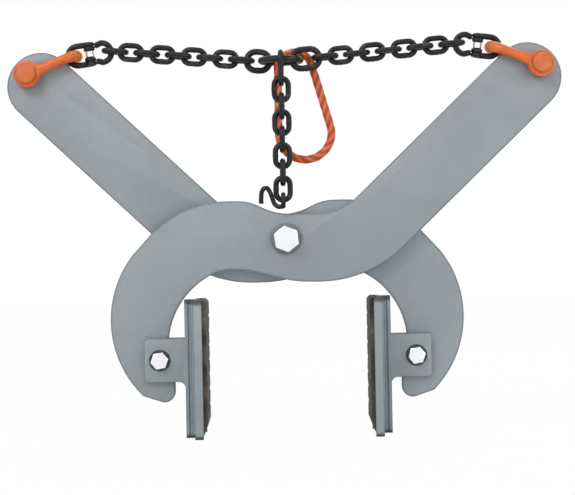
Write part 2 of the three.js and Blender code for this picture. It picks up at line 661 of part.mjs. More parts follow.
// Drop chain: it hangs from the front of the hub ring, its first link edge on
const drop = new THREE.Group();
drop.position.y = -HUB_RADIUS - CHAIN_PLAY * 2;
drop.rotation.y = Math.PI / 2;
hub.add(drop);
const firstDropHalf = (DROP_FIRST_LENGTH + CHAIN_WIRE) / 2;
const firstDrop = firstDropHalf - (HUB_WIRE + CHAIN_WIRE) / 2 - CHAIN_PLAY;
const topLink = piece('drop_chain_top', linkGeometry(DROP_FIRST_LENGTH, CHAIN_INNER_WIDTH, CHAIN_WIRE), black, drop);
topLink.position.x = firstDrop;
topLink.rotation.x = Math.PI / 2;
const dropNext = firstDrop + firstDropHalf - CHAIN_WIRE - CHAIN_PLAY + chainHalf;
const dropSpacing = CHAIN_PITCH - CHAIN_PLAY;
addLinks('drop_chain', drop, dropNext, dropSpacing, DROP_LINKS, 0);

// Hook: an eye round the last link and a bent shank that lies over on the front arm's top edge
const dropEnd = dropNext + (DROP_LINKS - 1) * dropSpacing + chainHalf;
const eyeTop = -dropEnd + (CHAIN_WIRE + HOOK_WIRE) / 2 + 2 * CHAIN_PLAY;
const hook = new THREE.Group();
hook.position.set(0, drop.position.y, eyeTop - HOOK_EYE_RADIUS);
hub.add(hook);
const eye = wire(arcPoints(0, 0, HOOK_EYE_RADIUS, 0, 360 - 360 / HOOK_EYE_STEPS, HOOK_EYE_STEPS - 1),
  HOOK_WIRE, true).rotateZ(Math.PI / 2);
const shankLine = new THREE.CatmullRomCurve3(HOOK_ROUTE_SHARES.map(([x, y, z]) => new THREE.Vector3(
  x * HOOK_REACH, y * HOOK_LEAN, z * HOOK_HEIGHT - HOOK_EYE_RADIUS,
)));
const section = new THREE.Shape().absarc(0, 0, HOOK_WIRE / 2, 0, 2 * Math.PI, false);
const shank = new THREE.ExtrudeGeometry(section, { steps: HOOK_STEPS, extrudePath: shankLine, curveSegments: 4 });
piece('drop_hook', join(solid(eye), solid(shank)), black, hook);

export default clamp;
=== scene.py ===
# Looks of the kerb lifting clamp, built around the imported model.
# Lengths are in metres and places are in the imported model's frame.
import json
import math
from collections import namedtuple

import bmesh
import bpy
import numpy as np
from mathutils import Matrix, Vector


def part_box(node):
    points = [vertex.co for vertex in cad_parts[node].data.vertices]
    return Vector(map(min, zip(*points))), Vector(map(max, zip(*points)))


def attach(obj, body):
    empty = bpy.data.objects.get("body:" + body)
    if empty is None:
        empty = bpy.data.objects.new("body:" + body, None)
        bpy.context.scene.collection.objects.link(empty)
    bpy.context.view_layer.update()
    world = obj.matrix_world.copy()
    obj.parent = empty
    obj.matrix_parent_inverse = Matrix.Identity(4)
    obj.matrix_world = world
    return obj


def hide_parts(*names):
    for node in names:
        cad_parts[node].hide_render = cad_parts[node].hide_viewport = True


MM = 0.001
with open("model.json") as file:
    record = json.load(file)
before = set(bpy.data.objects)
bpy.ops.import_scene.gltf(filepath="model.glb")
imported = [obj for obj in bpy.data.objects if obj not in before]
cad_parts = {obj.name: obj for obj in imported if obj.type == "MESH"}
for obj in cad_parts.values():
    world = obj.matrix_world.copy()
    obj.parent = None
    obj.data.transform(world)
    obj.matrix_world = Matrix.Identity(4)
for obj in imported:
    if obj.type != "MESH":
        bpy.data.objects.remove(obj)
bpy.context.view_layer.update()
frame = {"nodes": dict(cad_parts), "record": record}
nodes = frame["nodes"]
bodies_of = {n: b for b, members in frame["record"]["behaviour"]["bodies"].items() for n in members}
SIDES = ("left", "right")

# Places and sizes taken over from the part
PIVOT_HEIGHT = 281 * MM
ARM_PLANE = 9.5 * MM
CHAIN_WIRE = 8 * MM
CHAIN_LENGTH = 24 * MM
CHAIN_WIDTH = 12 * MM
CHAIN_LINKS = 9
DROP_LINKS = 7
END_WIRE = 9 * MM
END_WIDTH = 18 * MM
HUB_WIRE = 10 * MM
HUB_RADIUS = 28 * MM
PEAR_WIRE = 12 * MM
PEAR_NARROW = 25 * MM
PEAR_WIDE = 38 * MM
PEAR_LENGTH = 93.3 * MM
PEAR_TILT = math.radians(8)
SHACKLE_ANGLE = math.radians(21)
SHACKLE_PIN_X = 367.11 * MM
SHACKLE_PIN_Z = PIVOT_HEIGHT + 243.24 * MM
SHACKLE_WIRE = 16 * MM
SHACKLE_GAP = 27 * MM
SHACKLE_INSIDE = 67 * MM
SHACKLE_EYE = 19 * MM
SHACKLE_NUT_FLATS = 27 * MM
SHACKLE_NUT_HEIGHT = 11 * MM
COUPLING_ANGLE = math.radians(7)
COUPLING_WIRE = 9 * MM
COUPLING_LENGTH = 62.8 * MM
COUPLING_END = 14 * MM
LUG_LENGTH = 6 * MM
LUG_RADIUS = 8 * MM
JAW_HEIGHT = 197 * MM

# Edges of the pieces that keep the part's shape
ARM_EDGE = 1.1 * MM
ARM_EDGE_STEPS = 3
HOOK_EDGE = 0.5 * MM
WASHER_EDGE = 0.4 * MM
JAW_EDGE = 0.9 * MM
SAME_POINT = 0.001 * MM
FLAT_BELOW = math.radians(1)
EDGE_ABOVE = math.radians(28)

# Chain links and ring. The roll is in degrees, and a chain hangs where its direction's Z is above the limit.
LINK_ROLL = 3
HANGS_ABOVE = 0.9
LINK_WELD_SHARES = (-0.75, -0.45, -0.2, 0, 0.2, 0.45, 0.75)
LINK_WELD_SWELLS = (1, 1, 1.05, 1.09, 1.05, 1, 1)
HUB_WELD_SWELL = 0.05
HUB_WELD_STEPS = 1.6

# The lifting link's strands. Lays is how many of their ridges follow one another along one side of the link.
LOOP_SHARE = 0.96
LOOP_STRANDS = 3
LOOP_LAYS = 24
LOOP_RELIEF = 0.04
# Faces whose strand height is below the first level get the copy with painted shade. Faces above the second
# level get the copy with a painted highlight.
LOOP_SHADE_BELOW = -0.6
LOOP_HIGHLIGHT_ABOVE = 0.55

# Shackles
WAIST_SHARE = 0.80
EYE_SWELL = 0.55
EYE_SPREAD = 24 * MM
CROWN_SWELL = 0.24
CROWN_SPREAD = 16 * MM
EYE_RIM = 1.6 * MM
BOW_SHARES = (0, 0.12, 0.25, 0.38, 0.5, 0.62, 0.75, 0.88)
BOW_VOXEL = 1.0 * MM
BOW_ROUNDS = 6
PIN_RADIUS = 9.4 * MM
PIN_ROOT = 8.7 * MM
PIN_TIP_RADIUS = 8.0 * MM
PIN_TAIL = 12.5 * MM
PIN_THREADS = 14
PIN_THREAD_STEP = 1 * MM
PIN_SLACK = 0.3 * MM

# Coupling links. The legs of the outer half start nearer to the load pin than those of the inner half.
COUPLING_SHARE = 0.98
LEG_SHARES = (0.65, 0.85)
OUTER_LEG_START = 0.1
INNER_LEG_START = 0.5
COUPLING_VOXEL = 0.75 * MM
COUPLING_ROUNDS = 4
LUG_RIM = 0.8 * MM
LUG_SLACK = 0.3 * MM
SLEEVE_SLACK = 0.4 * MM
SLEEVE_RIM = 0.6 * MM
SLEEVE_END_RADIUS = 5.2 * MM
SLEEVE_RADIUS = 6.4 * MM
SLEEVE_WAIST_RADIUS = 6.1 * MM
LOAD_PIN_RADIUS = 4.1 * MM
LOAD_PIN_END_RADIUS = 3.2 * MM
LOAD_PIN_PROUD = 0.8 * MM
LOAD_PIN_RIM = 0.9 * MM

# Bolts. The turn is in degrees.
Bolt = namedtuple("Bolt", "flats head stem nut turn")
PIVOT_BOLT = Bolt(flats=33 * MM, head=15 * MM, stem=12 * MM, nut=19 * MM, turn=-8)
JAW_BOLT = Bolt(flats=22 * MM, head=10 * MM, stem=8 * MM, nut=14 * MM, turn=20)
OVERLAP = 0.5 * MM
HEAD_CHAMFER_SHARE = 0.98
HEAD_CHAMFER = math.radians(30)
HEAD_FOOT_SHARE = 0.96
HEAD_FOOT_RIM = 0.4 * MM
HEAD_FOOT_SLOPE = 0.5
THREAD_DEPTH = 0.7 * MM
THREAD_STEP = 0.9 * MM
THREAD_TURNS = 9
THREAD_RUNOUT = 0.2 * MM
STEM_SHARE = 0.98
STEM_TIP_SHARE = 0.86

# Outlines turned about an axis, as radius and place along the axis, in millimetres
PIN_HEAD_OUTLINE = ((0.2, -8.2), (9, -8.0), (12.6, -7.6), (13.8, -6.2), (14, -1.2), (13, -0.1))
JAW_WASHER_OUTLINE = ((9, 0.28), (15.0, 0.28), (15.4, 0.1), (15.0, -0.3), (9, -0.3))

# Weld beads on the jaws
WELD_X = 134.1 * MM
WELD_Y = 17.4 * MM
WELD_INSET = 3 * MM
WELD_RADIUS = 2.4 * MM
WELD_STEP = 1.1 * MM
WELD_RIPPLE = 0.14
WELD_RIPPLE_STEPS = 3.1
WELD_THIN = 0.96
WELD_THICK = 1.04
DOME_SHARES = (0.45, 0.78, 0.95)

# Rubber faces
Wobble = namedtuple("Wobble", "size depth level")
RUBBER_WOBBLE = Wobble(size=9 * MM, depth=0.8 * MM, level=0.62)
RUBBER_VOXEL = 1.3 * MM
RUBBER_ROUNDS = 7

# How finely the meshes are divided
LINK_SIDES = 16
LINK_BEND_STEPS = 12
HUB_SIDES = 18
HUB_STEPS = 56
LOOP_SIDES = 30
LOOP_NARROW_STEPS = 40
LOOP_WIDE_STEPS = 84
LOOP_LEG_STEPS = 58
BOW_SIDES = 20
BOW_BEND_STEPS = 24
EYE_STEPS = 40
COUPLING_SIDES = 16
COUPLING_BEND_STEPS = 18
LUG_STEPS = 28
SLEEVE_STEPS = 32
LOAD_PIN_STEPS = 24
HEAD_STEPS = 72
STEM_STEPS = 40
ROUND_HEAD_STEPS = 56
WELD_SIDES = 10

# The largest angle in degrees between two faces that still look like one round surface
ROUND_WIRE = 180
ROUND_STRANDS = 60
ROUND_TURNED = 40
ROUND_REFINED = 35
ROUND_HEAD = 30

# Floor, light and camera
FLOOR_SIZE = 6.0
FLOOR_GREY = 0.86
FLOOR_ROUGHNESS = 0.9
FLOOR_WHITE_SHARE = 0.97
WORLD_LEVEL = 0.62
LIGHT_TARGET = (0, 0, 0.3)
Light = namedtuple("Light", "name place size watts")
LIGHTS = (
    Light("key", (-1.3, -2.0, 2.1), size=1.3, watts=30),
    Light("fill", (1.9, -1.6, 1.2), size=1.6, watts=14),
    Light("back", (0.6, 2.0, 1.9), size=1.4, watts=14),
)
CAMERA_DISTANCE = 2.5
CAMERA_SEES = 0.828
CAMERA_X = 1.4 * MM
CAMERA_Z = 268.8 * MM
CAMERA_ROLL = math.radians(1.1)
SENSOR_WIDTH = 36.0


# Materials

Bump = namedtuple("Bump", "scale detail depth")
ChipsAndHighlights = namedtuple("ChipsAndHighlights", "colour scale share narrow")
EdgeShade = namedtuple("EdgeShade", "colour width strength")
Ends = namedtuple("Ends", "colour height foot top")
COAT_ROUGHNESS = 0.25
FINE_TO_BROAD = 14
GLOSS_FROM = 0.3
GLOSS_TO = 0.7
# How the painted shade along sharp edges fades away from the edge
EDGE_FULL = 0.92
EDGE_NONE = 0.998
EDGE_SAMPLES = 6

# Where the dark ends of an upright piece begin and stop, as shares of its height, and how dark they are. The
# dark foot is painted shade along the bottom edge, and the top gets a dark band as well.
ENDS_NOISE = 130
ENDS_RAGGED = 0.03
FOOT_SHADE_FULL = 0.01
FOOT_SHADE_NONE = 0.025
FOOT_SHADE_STRENGTH = 0.9
TOP_FULL = 0.02
TOP_STRENGTH = 0.85


def add(tree, kind, inputs=None, **settings):
    """A node whose inputs are values or other nodes' sockets."""
    node = tree.nodes.new(kind)
    for key, value in settings.items():
        setattr(node, key, value)
    for key, value in (inputs or {}).items():
        if isinstance(value, bpy.types.NodeSocket):
            tree.links.new(value, node.inputs[key])
        else:
            node.inputs[key].default_value = value
    return node


def maths(tree, operation, first, second):
    return add(tree, "ShaderNodeMath", {0: first, 1: second}, operation=operation).outputs[0]


def ramp(tree, factor, stops):
    """A colour ramp. A stop's value is a colour or a grey."""
    node = add(tree, "ShaderNodeValToRGB", {"Fac": factor})
    elements = node.color_ramp.elements
    while len(elements) < len(stops):
        elements.new(0.5)
    for element, (position, value) in zip(elements, stops):
        element.position = position
        element.color = (*value, 1) if isinstance(value, tuple) else (value, value, value, 1)
    return node.outputs["Color"]


def mixed(tree, factor, under, over):
    """The under colour, a socket, with the over colour on it where the factor is 1."""
    node = add(tree, "ShaderNodeMix", {0: factor, 6: under, 7: (*over, 1)}, data_type="RGBA")
    return node.outputs[2]


def noise(tree, place, scale, detail, roughness):
    inputs = {"Vector": place, "Scale": scale, "Detail": detail, "Roughness": roughness}
    return add(tree, "ShaderNodeTexNoise", inputs).outputs["Fac"]


def painted_edge_shade(tree, width, strength):
    """A mask of the strip along sharp edges, where the colour is darkened as painted shade."""
    rounded = add(tree, "ShaderNodeBevel", {"Radius": width}, samples=EDGE_SAMPLES).outputs["Normal"]
    plain = add(tree, "ShaderNodeNewGeometry").outputs["Normal"]
    near = add(tree, "ShaderNodeVectorMath", {0: rounded, 1: plain}, operation="DOT_PRODUCT")
    return ramp(tree, near.outputs["Value"], [(EDGE_FULL, strength), (EDGE_NONE, 0.0)])


def near_ends(tree, place, ends):
    """A mask with a ragged border over the foot and the top of an upright piece: painted shade at the foot
    and a dark band at the top.
    """
    height = add(tree, "ShaderNodeSeparateXYZ", {"Vector": place}).outputs["Z"]
    spots = noise(tree, place, ENDS_NOISE, detail=4, roughness=0.7)
    ragged = maths(tree, "MULTIPLY", spots, ENDS_RAGGED)
    level = maths(tree, "ADD", maths(tree, "MULTIPLY", height, 1 / ends.height), ragged)
    foot = ends.foot / ends.height
    top = 1 - ends.top / ends.height
    return ramp(tree, level, [
        (foot + FOOT_SHADE_FULL, FOOT_SHADE_STRENGTH), (foot + FOOT_SHADE_NONE, 0.0),
        (top, 0.0), (top + TOP_FULL, TOP_STRENGTH),
    ])


def finish(name, tones, gloss, patch, bumps, metallic=0.0, chips_and_highlights=None, edge=None, ends=None, coat=0.0,
           specular=0.5):
    """A material. tones are ramp stops over noise of the patch scale, and gloss is the range of roughness.
    chips, edge and ends change the colour where noise peaks (worn spots on paint, painted highlights on the
    chain), along sharp edges (painted shade), at the foot (painted shade) and at the top (a dark band)."""
    mat = bpy.data.materials.new(name)
    mat.use_nodes = True
    tree = mat.node_tree
    shader = tree.nodes["Principled BSDF"]
    shader.inputs["Metallic"].default_value = metallic
    shader.inputs["Coat Weight"].default_value = coat
    shader.inputs["Coat Roughness"].default_value = COAT_ROUGHNESS
    shader.inputs["Specular IOR Level"].default_value = specular
    place = add(tree, "ShaderNodeTexCoord").outputs["Object"]
    colour = ramp(tree, noise(tree, place, patch, detail=5, roughness=0.6), tones)
    fine = noise(tree, place, patch * FINE_TO_BROAD, detail=5, roughness=0.65)
    low, high = gloss
    rough = ramp(tree, fine, [(GLOSS_FROM, low), (GLOSS_TO, high)])
    if edge:
        colour = mixed(tree, painted_edge_shade(tree, edge.width, edge.strength), colour, edge.colour)
    # Spots where noise peaks: worn paint on the painted parts, painted highlights on the chain
    if chips_and_highlights:
        spots = noise(tree, place, chips_and_highlights.scale, detail=6, roughness=0.7)
        mask = ramp(tree, spots, [(chips_and_highlights.share, 0.0), (chips_and_highlights.share + chips_and_highlights.narrow, 1.0)])
        colour = mixed(tree, mask, colour, chips_and_highlights.colour)
    if ends:
        colour = mixed(tree, near_ends(tree, place, ends), colour, ends.colour)
    tree.links.new(colour, shader.inputs["Base Color"])
    tree.links.new(rough, shader.inputs["Roughness"])
    normal = None
    for bump in bumps:
        height = noise(tree, place, bump.scale, bump.detail, roughness=0.6)
        inputs = {"Height": height, "Strength": 1.0, "Distance": bump.depth}
        if normal:
            inputs["Normal"] = normal
        normal = add(tree, "ShaderNodeBump", inputs).outputs["Normal"]
    tree.links.new(normal, shader.inputs["Normal"])
    return mat


grey_paint = finish(
    "grey_paint",
    [(0.3, (0.255, 0.287, 0.312)), (0.5, (0.285, 0.317, 0.337)), (0.7, (0.312, 0.344, 0.372))],
    gloss=(0.42, 0.6), metallic=0.25, patch=7,
    bumps=(Bump(900, 3, 0.12 * MM), Bump(60, 4, 0.3 * MM)),
    chips_and_highlights=ChipsAndHighlights((0.20, 0.215, 0.22), scale=160, share=0.71, narrow=0.02),
    # Painted shade along the plates' edges
    edge=EdgeShade((0.085, 0.10, 0.11), width=5.0 * MM, strength=0.9),
)
jaw_paint = finish(
    "jaw_paint",
    [(0.3, (0.25, 0.28, 0.295)), (0.55, (0.285, 0.32, 0.34)), (0.75, (0.32, 0.35, 0.375))],
    gloss=(0.42, 0.62), metallic=0.25, patch=16,
    bumps=(Bump(900, 3, 0.12 * MM), Bump(90, 4, 0.4 * MM)),
    chips_and_highlights=ChipsAndHighlights((0.15, 0.16, 0.165), scale=120, share=0.68, narrow=0.03),
    # Painted shade along the jaw's edges
    edge=EdgeShade((0.085, 0.10, 0.11), width=2.2 * MM, strength=0.8),
    # Painted shade along the jaw's foot, and a dark band along its top
    ends=Ends((0.03, 0.032, 0.034), JAW_HEIGHT, foot=4 * MM, top=6 * MM),
)
bright_zinc = finish(
    "bright_zinc", [(0.3, (0.86, 0.87, 0.88)), (0.7, (0.95, 0.955, 0.96))],
    gloss=(0.22, 0.36), metallic=0.75, patch=60, bumps=(Bump(1400, 2, 0.03 * MM),),
)
dull_zinc = finish(
    "dull_zinc", [(0.3, (0.13, 0.145, 0.15)), (0.7, (0.19, 0.205, 0.21))],
    gloss=(0.45, 0.6), metallic=0.4, patch=60, bumps=(Bump(1400, 2, 0.03 * MM),),
    # Painted shade along the edges of the washers and the spacer
    edge=EdgeShade((0.06, 0.07, 0.075), width=1.2 * MM, strength=0.7),
)
dark_steel = finish(
    "dark_steel", [(0.3, (0.03, 0.04, 0.047)), (0.7, (0.065, 0.08, 0.09))],
    gloss=(0.4, 0.6), metallic=0.4, patch=80, bumps=(Bump(1200, 2, 0.04 * MM),),
)
shackle_orange = finish(
    "shackle_orange",
    [(0.3, (0.56, 0.095, 0.014)), (0.5, (0.69, 0.135, 0.020)), (0.72, (0.76, 0.18, 0.036))],
    gloss=(0.36, 0.52), patch=40, coat=0.08,
    bumps=(Bump(420, 4, 0.25 * MM), Bump(90, 3, 0.5 * MM)),
    chips_and_highlights=ChipsAndHighlights((0.16, 0.07, 0.045), scale=190, share=0.70, narrow=0.02),
    # Painted shade along the shackles' edges
    edge=EdgeShade((0.42, 0.085, 0.03), width=1.2 * MM, strength=0.6),
)
pin_orange = finish(
    "pin_orange",
    [(0.3, (0.55, 0.115, 0.024)), (0.55, (0.62, 0.15, 0.038)), (0.75, (0.68, 0.20, 0.07))],
    gloss=(0.4, 0.55), patch=70, coat=0.05, bumps=(Bump(500, 4, 0.2 * MM),),
    # Painted shade round the pin's rims
    edge=EdgeShade((0.5, 0.11, 0.04), width=1.0 * MM, strength=0.8),
)


def loop_finish(name, shade):
    """The lifting link's orange, its colours multiplied by shade. The darker copy is painted shade in the
    strands' grooves, and the lighter copy is a painted highlight on their crests.
    """
    tones = [(0.3, (0.50, 0.07, 0.016)), (0.5, (0.62, 0.11, 0.024)), (0.75, (0.74, 0.17, 0.042))]
    shaded = [(stop, tuple(min(1.0, shade * part) for part in tone)) for stop, tone in tones]
    return finish(name, shaded, gloss=(0.45, 0.6), patch=45, bumps=(Bump(600, 4, 0.2 * MM),))


# Copies of the lifting link's orange: a middle one, a darker one for painted shade and a lighter one for a
# painted highlight.
loop_mid = loop_finish("loop_mid", 0.88)
loop_painted_shade = loop_finish("loop_painted_shade", 0.52)
loop_painted_highlight = loop_finish("loop_painted_highlight", 1.3)
chain_black = finish(
    "chain_black",
    [(0.3, (0.003, 0.003, 0.003)), (0.55, (0.010, 0.0095, 0.0095)), (0.75, (0.06, 0.055, 0.05))],
    gloss=(0.3, 0.5), patch=75, specular=0.3,
    bumps=(Bump(700, 4, 0.18 * MM), Bump(160, 3, 0.4 * MM)),
    # The light spots on the chain are painted highlights
    chips_and_highlights=ChipsAndHighlights((0.20, 0.18, 0.15), scale=260, share=0.66, narrow=0.04),
)
dark_rubber = finish(
    "dark_rubber",
    [(0.32, (0.016, 0.014, 0.012)), (0.48, (0.05, 0.043, 0.035)), (0.66, (0.125, 0.105, 0.08))],
    gloss=(0.75, 0.95), patch=34,
    bumps=(Bump(500, 5, 0.4 * MM), Bump(120, 4, 0.6 * MM)),
)


# Mesh helpers

def piece(name, mesh, mat, body, replaced=()):
    """An object with this mesh and material, riding on the body and standing for the replaced CAD nodes."""
    mesh.name = name
    obj = bpy.data.objects.new(name, mesh)
    bpy.context.scene.collection.objects.link(obj)
    mesh.materials.clear()
    mesh.materials.append(mat)
    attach(obj, body)
    if replaced:
        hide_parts(*replaced)
    return obj


def stand_in(node, mesh, mat):
    """The piece that stands for one CAD node."""
    return piece(node + "_shape", mesh, mat, bodies_of[node], [node])


def smoothed(mesh, round_below):
    mesh.shade_smooth()
    mesh.set_sharp_from_angle(angle=math.radians(round_below))
    return mesh


def raw_mesh(verts, faces):
    mesh = bpy.data.meshes.new("shape")
    mesh.from_pydata([tuple(v) for v in verts], [], [tuple(f) for f in faces])
    return mesh


def mesh_from(verts, faces, matrix, round_below):
    mesh = raw_mesh(verts, faces)
    bm = bmesh.new()
    bm.from_mesh(mesh)
    bmesh.ops.recalc_face_normals(bm, faces=bm.faces)
    bm.to_mesh(mesh)
    bm.free()
    mesh.transform(matrix)
    return smoothed(mesh, round_below)


def wall_faces(rows, steps, closed=False):
    """The four-sided faces between rows of points, each row a ring of steps points."""
    faces = []
    for i in range(rows if closed else rows - 1):
        for k in range(steps):
            n = (k + 1) % steps
            j = (i + 1) % rows
            faces.append((i * steps + k, i * steps + n, j * steps + n, j * steps + k))
    return faces


def capped(rows, steps):
    """The faces of a solid made of rows of points, with both ends closed."""
    first = tuple(range(steps))
    last = tuple((rows - 1) * steps + k for k in range(steps))
    return wall_faces(rows, steps) + [first, last[::-1]]


def domed(rings, path, along, size):
    """The rings of an open tube with rounded ends."""
    caps = {}
    for end, direction in ((0, -along[0]), (-1, along[-1])):
        caps[end] = []
        for share in DOME_SHARES:
            width = math.sqrt(1 - share ** 2)
            ring = path[end] + (rings[end] - path[end]) * width + direction * size[end] * share
            caps[end].append(ring)
    return caps[0][::-1] + rings + caps[-1]


def tube(points, radius, sides, closed=True, strands=0, lays=0, relief=0.0, dome=False):
    """A round wire along points. radius is one value or one for each point. strands, lays and relief twist
    ridges round it, and dome rounds the open ends."""
    path = np.array([tuple(p) for p in points], float)
    count = len(path)
    size = np.broadcast_to(np.asarray(radius, float), (count,)).copy()
    if closed:
        ahead = np.roll(path, -1, 0) - path
        back = path - np.roll(path, 1, 0)
    else:
        ahead = np.vstack([path[1:] - path[:-1], path[-1:] - path[-2:-1]])
        back = np.vstack([path[1:2] - path[:1], path[1:] - path[:-1]])
    ahead /= np.linalg.norm(ahead, axis=1)[:, None]
    back /= np.linalg.norm(back, axis=1)[:, None]
    along = ahead + back
    along /= np.linalg.norm(along, axis=1)[:, None]
    unlike_any_wire = (0.31, 0.82, 0.47)
    side = np.cross(along[0], unlike_any_wire)
    side /= np.linalg.norm(side)
    rings = []
    for i in range(count):
        side = side - along[i] * side.dot(along[i])
        side /= np.linalg.norm(side)
        up = np.cross(along[i], side)
        ring = []
        for k in range(sides):
            angle = 2 * math.pi * k / sides
            swell = 1 + relief * math.cos(strands * angle - 2 * math.pi * lays * i / count)
            ring.append(path[i] + size[i] * swell * (math.cos(angle) * side + math.sin(angle) * up))
        rings.append(np.array(ring))
    if dome:
        rings = domed(rings, path, along, size)
    total = len(rings)
    faces = wall_faces(total, sides, closed)
    if not closed:
        faces.append(tuple(range(sides))[::-1])
        faces.append(tuple((total - 1) * sides + k for k in range(sides)))
    return np.vstack(rings), faces


def arc(x, z, radius, start, end, steps):
    """Points of an arc in the XZ plane, from one angle to the other in degrees."""
    points = []
    for i in range(steps + 1):
        angle = math.radians(start + (end - start) * i / steps)
        points.append(Vector((x + radius * math.cos(angle), 0, z + radius * math.sin(angle))))
    return points


def oval(inner_length, inner_width, wire):
    """An oval link in the XZ plane along X, with the swelling that its weld leaves on one long side."""
    radius = (inner_width + wire) / 2
    half = (inner_length + wire) / 2 - radius
    welded = [Vector((half * share, 0, -radius)) for share in LINK_WELD_SHARES]
    plain = [Vector((-p.x, 0, radius)) for p in welded]
    right_bend = arc(half, 0, radius, -90, 90, LINK_BEND_STEPS)
    left_bend = arc(-half, 0, radius, 90, 270, LINK_BEND_STEPS)
    points = welded + right_bend + plain + left_bend
    sizes = [wire / 2] * len(points)
    for i, swell in enumerate(LINK_WELD_SWELLS):
        sizes[i] *= swell
    return tube(points, sizes, LINK_SIDES)


def turned(profile, steps):
    """A shape turned about Y from (radius, y) pairs."""
    verts = []
    for radius, y in profile:
        for k in range(steps):
            angle = 2 * math.pi * k / steps
            verts.append((radius * math.cos(angle), y, radius * math.sin(angle)))
    return verts, capped(len(profile), steps)


def in_mm(outline):
    return [(radius * MM, place * MM) for radius, place in outline]


def rimmed(radius, start, end, rim):
    """The outline of a short cylinder with both rims chamfered."""
    return [(radius - rim, start), (radius, start + rim), (radius, end - rim), (radius - rim, end)]


def hexagon(flats, height):
    """A six-sided head from y = 0 to y = -height, its outer end turned to the usual round chamfer."""
    apothem = flats / 2
    circle = apothem * HEAD_CHAMFER_SHARE
    foot = apothem * HEAD_FOOT_SHARE
    rows = [[], [], [], []]
    for k in range(HEAD_STEPS):
        angle = 2 * math.pi * k / HEAD_STEPS
        local = (angle + math.pi / 6) % (math.pi / 3) - math.pi / 6
        radius = apothem / math.cos(local)
        cos, sin = math.cos(angle), math.sin(angle)
        rise = HEAD_FOOT_RIM + (radius - foot) * HEAD_FOOT_SLOPE
        drop = (radius - circle) * math.tan(HEAD_CHAMFER)
        rows[0].append((foot * cos, 0, foot * sin))
        rows[1].append((radius * cos, -rise, radius * sin))
        rows[2].append((radius * cos, -height + drop, radius * sin))
        rows[3].append((circle * cos, -height, circle * sin))
    return [v for row in rows for v in row], capped(len(rows), HEAD_STEPS)


def joined(*shapes):
    verts, faces = [], []
    for shape_verts, shape_faces in shapes:
        base = len(verts)
        verts.extend(tuple(v) for v in shape_verts)
        faces.extend(tuple(base + i for i in face) for face in shape_faces)
    return verts, faces


def moved(shape, matrix):
    verts, faces = shape
    return [tuple(matrix @ Vector(v)) for v in verts], faces


def skinned(mesh, voxel, rounds, wobble=None):
    """The solids of a mesh melted into one skin, as forging and moulding leave them, with an uneven surface
    where wobble is given."""
    obj = bpy.data.objects.new("skinned", mesh)
    bpy.context.scene.collection.objects.link(obj)
    remesh = obj.modifiers.new("skin", "REMESH")
    remesh.mode = "VOXEL"
    remesh.voxel_size = voxel
    soften = obj.modifiers.new("soft", "SMOOTH")
    soften.factor = 0.5
    soften.iterations = rounds
    if wobble:
        texture = bpy.data.textures.new("wobble", "CLOUDS")
        texture.noise_scale = wobble.size
        uneven = obj.modifiers.new("wobble", "DISPLACE")
        uneven.texture = texture
        uneven.strength = wobble.depth
        uneven.mid_level = wobble.level
    depsgraph = bpy.context.evaluated_depsgraph_get()
    result = bpy.data.meshes.new_from_object(obj.evaluated_get(depsgraph))
    bpy.data.objects.remove(obj)
    result.shade_smooth()
    return result


def forged(shape, matrix, voxel, rounds):
    result = skinned(raw_mesh(*shape), voxel, rounds)
    result.transform(matrix)
    return result


def refined(node, mat, bevel, segments=2):
    """A CAD node's shape with its sharp edges rounded off."""
    bm = bmesh.new()
    bm.from_mesh(nodes[node].data)
    bmesh.ops.remove_doubles(bm, verts=bm.verts, dist=SAME_POINT)
    bmesh.ops.dissolve_limit(bm, angle_limit=FLAT_BELOW, verts=bm.verts, edges=bm.edges)
    edges = [e for e in bm.edges if len(e.link_faces) == 2 and e.calc_face_angle(0) > EDGE_ABOVE]
    bmesh.ops.bevel(bm, geom=edges, offset=bevel, offset_type="OFFSET", segments=segments, profile=0.5,
                    affect="EDGES", clamp_overlap=True)
    mesh = bpy.data.meshes.new(node)
    bm.to_mesh(mesh)
    bm.free()
    return stand_in(node, smoothed(mesh, ROUND_REFINED), mat)


def centre(node):
    low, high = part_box(node)
    return (low + high) / 2


def basis(origin, along, across):
    """A matrix whose X is along and whose Y is across."""
    x = along.normalized()
    y = (across - x * across.dot(x)).normalized()
    z = x.cross(y)
    return Matrix((
        (x.x, y.x, z.x, origin.x), (x.y, y.y, z.y, origin.y), (x.z, y.z, z.z, origin.z), (0, 0, 0, 1),
    ))


def upright():
    """Turns the Y axis of a turned shape to Z."""
    return Matrix.Rotation(math.pi / 2, 4, "X")


def about_face():
    """Half a turn about Z."""
    return Matrix.Rotation(math.pi, 4, "Z")


rng = np.random.default_rng(7)


# Arms

def arms():
    for node in ("arm_front", "arm_rear"):
        refined(node, grey_paint, ARM_EDGE, ARM_EDGE_STEPS)


# Chain

def link_piece(node, direction, flat, length=CHAIN_LENGTH, width=CHAIN_WIDTH, wire=CHAIN_WIRE):
    """One link along direction. A flat link shows its edge from the front."""
    across = Vector((0, 1, 0))
    if flat:
        across = Vector((1, 0, 0)) if abs(direction.z) > HANGS_ABOVE else Vector((0, 0, 1))
    roll = Matrix.Rotation(math.radians(float(rng.uniform(-LINK_ROLL, LINK_ROLL))), 4, direction)
    place = basis(centre(node), direction, roll @ across)
    flip = Matrix.Rotation(math.pi * int(rng.integers(0, 2)), 4, "X")
    verts, faces = oval(length, width, wire)
    stand_in(node, mesh_from(verts, faces, place @ flip, ROUND_WIRE), chain_black)


